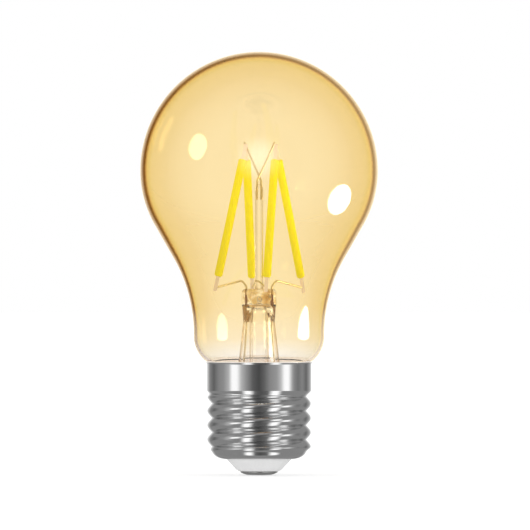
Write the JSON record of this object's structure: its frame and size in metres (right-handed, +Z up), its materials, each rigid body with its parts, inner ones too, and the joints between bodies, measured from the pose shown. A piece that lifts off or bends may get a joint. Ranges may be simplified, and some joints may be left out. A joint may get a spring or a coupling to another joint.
{
  "type": "filament light bulb",
  "caption": "Smart filament light bulb: amber glass bulb on a screw cap, with upright filaments on a glass stem and a small radio driver hidden in the cap.",
  "frame": {"origin": "centre of the bottom of the centre contact, the lamp's lowest point", "axes": "+Z up the lamp's axis from contact to crown; -Y faces the front view, with the two wider-spread filaments left and right of it along X"},
  "size_m": [0.06, 0.06, 0.1068],
  "materials": {
    "amber_glass": "clear amber tinted soda-lime glass, smooth",
    "clear_glass": "clear lead-free stem glass, smooth",
    "nickel_shell": "bright nickel plate over rolled brass",
    "contact_metal": "nickel plated pressed disc",
    "white_plastic": "moulded, satin",
    "cement": "matt capping cement",
    "phosphor_silicone": "yellow phosphor silicone, satin",
    "strip_ceramic": "white alumina strip",
    "led_chip": "polished chip",
    "tab_steel": "plated spring steel, drawn",
    "nickel_wire": "nickel plated iron wire, drawn",
    "seal_copper": "copper clad seal wire, oxidised in the glass",
    "tan_sleeve": "tan glass fibre sleeve, matt",
    "circuit_board": "green solder mask over glass epoxy",
    "component_black": "moulded epoxy",
    "capacitor_can": "sleeved can",
    "ferrite": "sintered ferrite, matt",
    "copper_winding": "enamelled copper wire",
    "resistor_body": "lacquered",
    "film_body": "dipped",
    "chip_ceramic": "fired",
    "shield_tin": "tinned, drawn",
    "gold_trace": "gold flash on copper",
    "insulating_film": "thin moulded film",
    "wire_insulation": "silicone insulation"
  },
  "bodies": {
    "root": {"anchor_wire_left": "nickel_wire", "anchor_wire_right": "nickel_wire", "bridge_rectifier": "component_black", "cap_insulator": "white_plastic", "capping_cement": "cement", "centre_contact": "contact_metal", "chip_capacitors": "chip_ceramic", "chip_resistors": "component_black", "choke_core": "ferrite", "choke_winding": "copper_winding", "driver_board": "circuit_board", "driver_chip": "component_black", "electrolytic_capacitor": "capacitor_can", "exhaust_tube": "clear_glass", "filament_coat_1": "phosphor_silicone", "filament_coat_2": "phosphor_silicone", "filament_coat_3": "phosphor_silicone", "filament_coat_4": "phosphor_silicone", "filament_strip_1": "strip_ceramic", "filament_strip_2": "strip_ceramic", "filament_strip_3": "strip_ceramic", "filament_strip_4": "strip_ceramic", "film_capacitor": "film_body", "fusible_resistor": "resistor_body", "glass_envelope": "amber_glass", "glass_stem": "clear_glass", "header_pins": "gold_trace", "inner_lead_left": "nickel_wire", "inner_lead_right": "nickel_wire", "insulating_tube": "insulating_film", "lead_sleeve": "tan_sleeve", "led_chips_1": "led_chip", "led_chips_2": "led_chip", "led_chips_3": "led_chip", "led_chips_4": "led_chip", "link_wire": "nickel_wire", "live_wire": "wire_insulation", "lower_tab_1": "tab_steel", "lower_tab_2": "tab_steel", "lower_tab_3": "tab_steel", "lower_tab_4": "tab_steel", "neutral_wire": "wire_insulation", "outer_lead_left": "nickel_wire", "outer_lead_right": "nickel_wire", "radio_antenna": "gold_trace", "radio_board": "circuit_board", "radio_chip": "component_black", "radio_crystal": "shield_tin", "radio_shield": "shield_tin", "screw_shell": "nickel_shell", "seal_wire_left": "seal_copper", "seal_wire_right": "seal_copper", "support_rod": "clear_glass", "upper_tab_1": "tab_steel", "upper_tab_2": "tab_steel", "upper_tab_3": "tab_steel", "upper_tab_4": "tab_steel"}
  },
  "joints": []
}
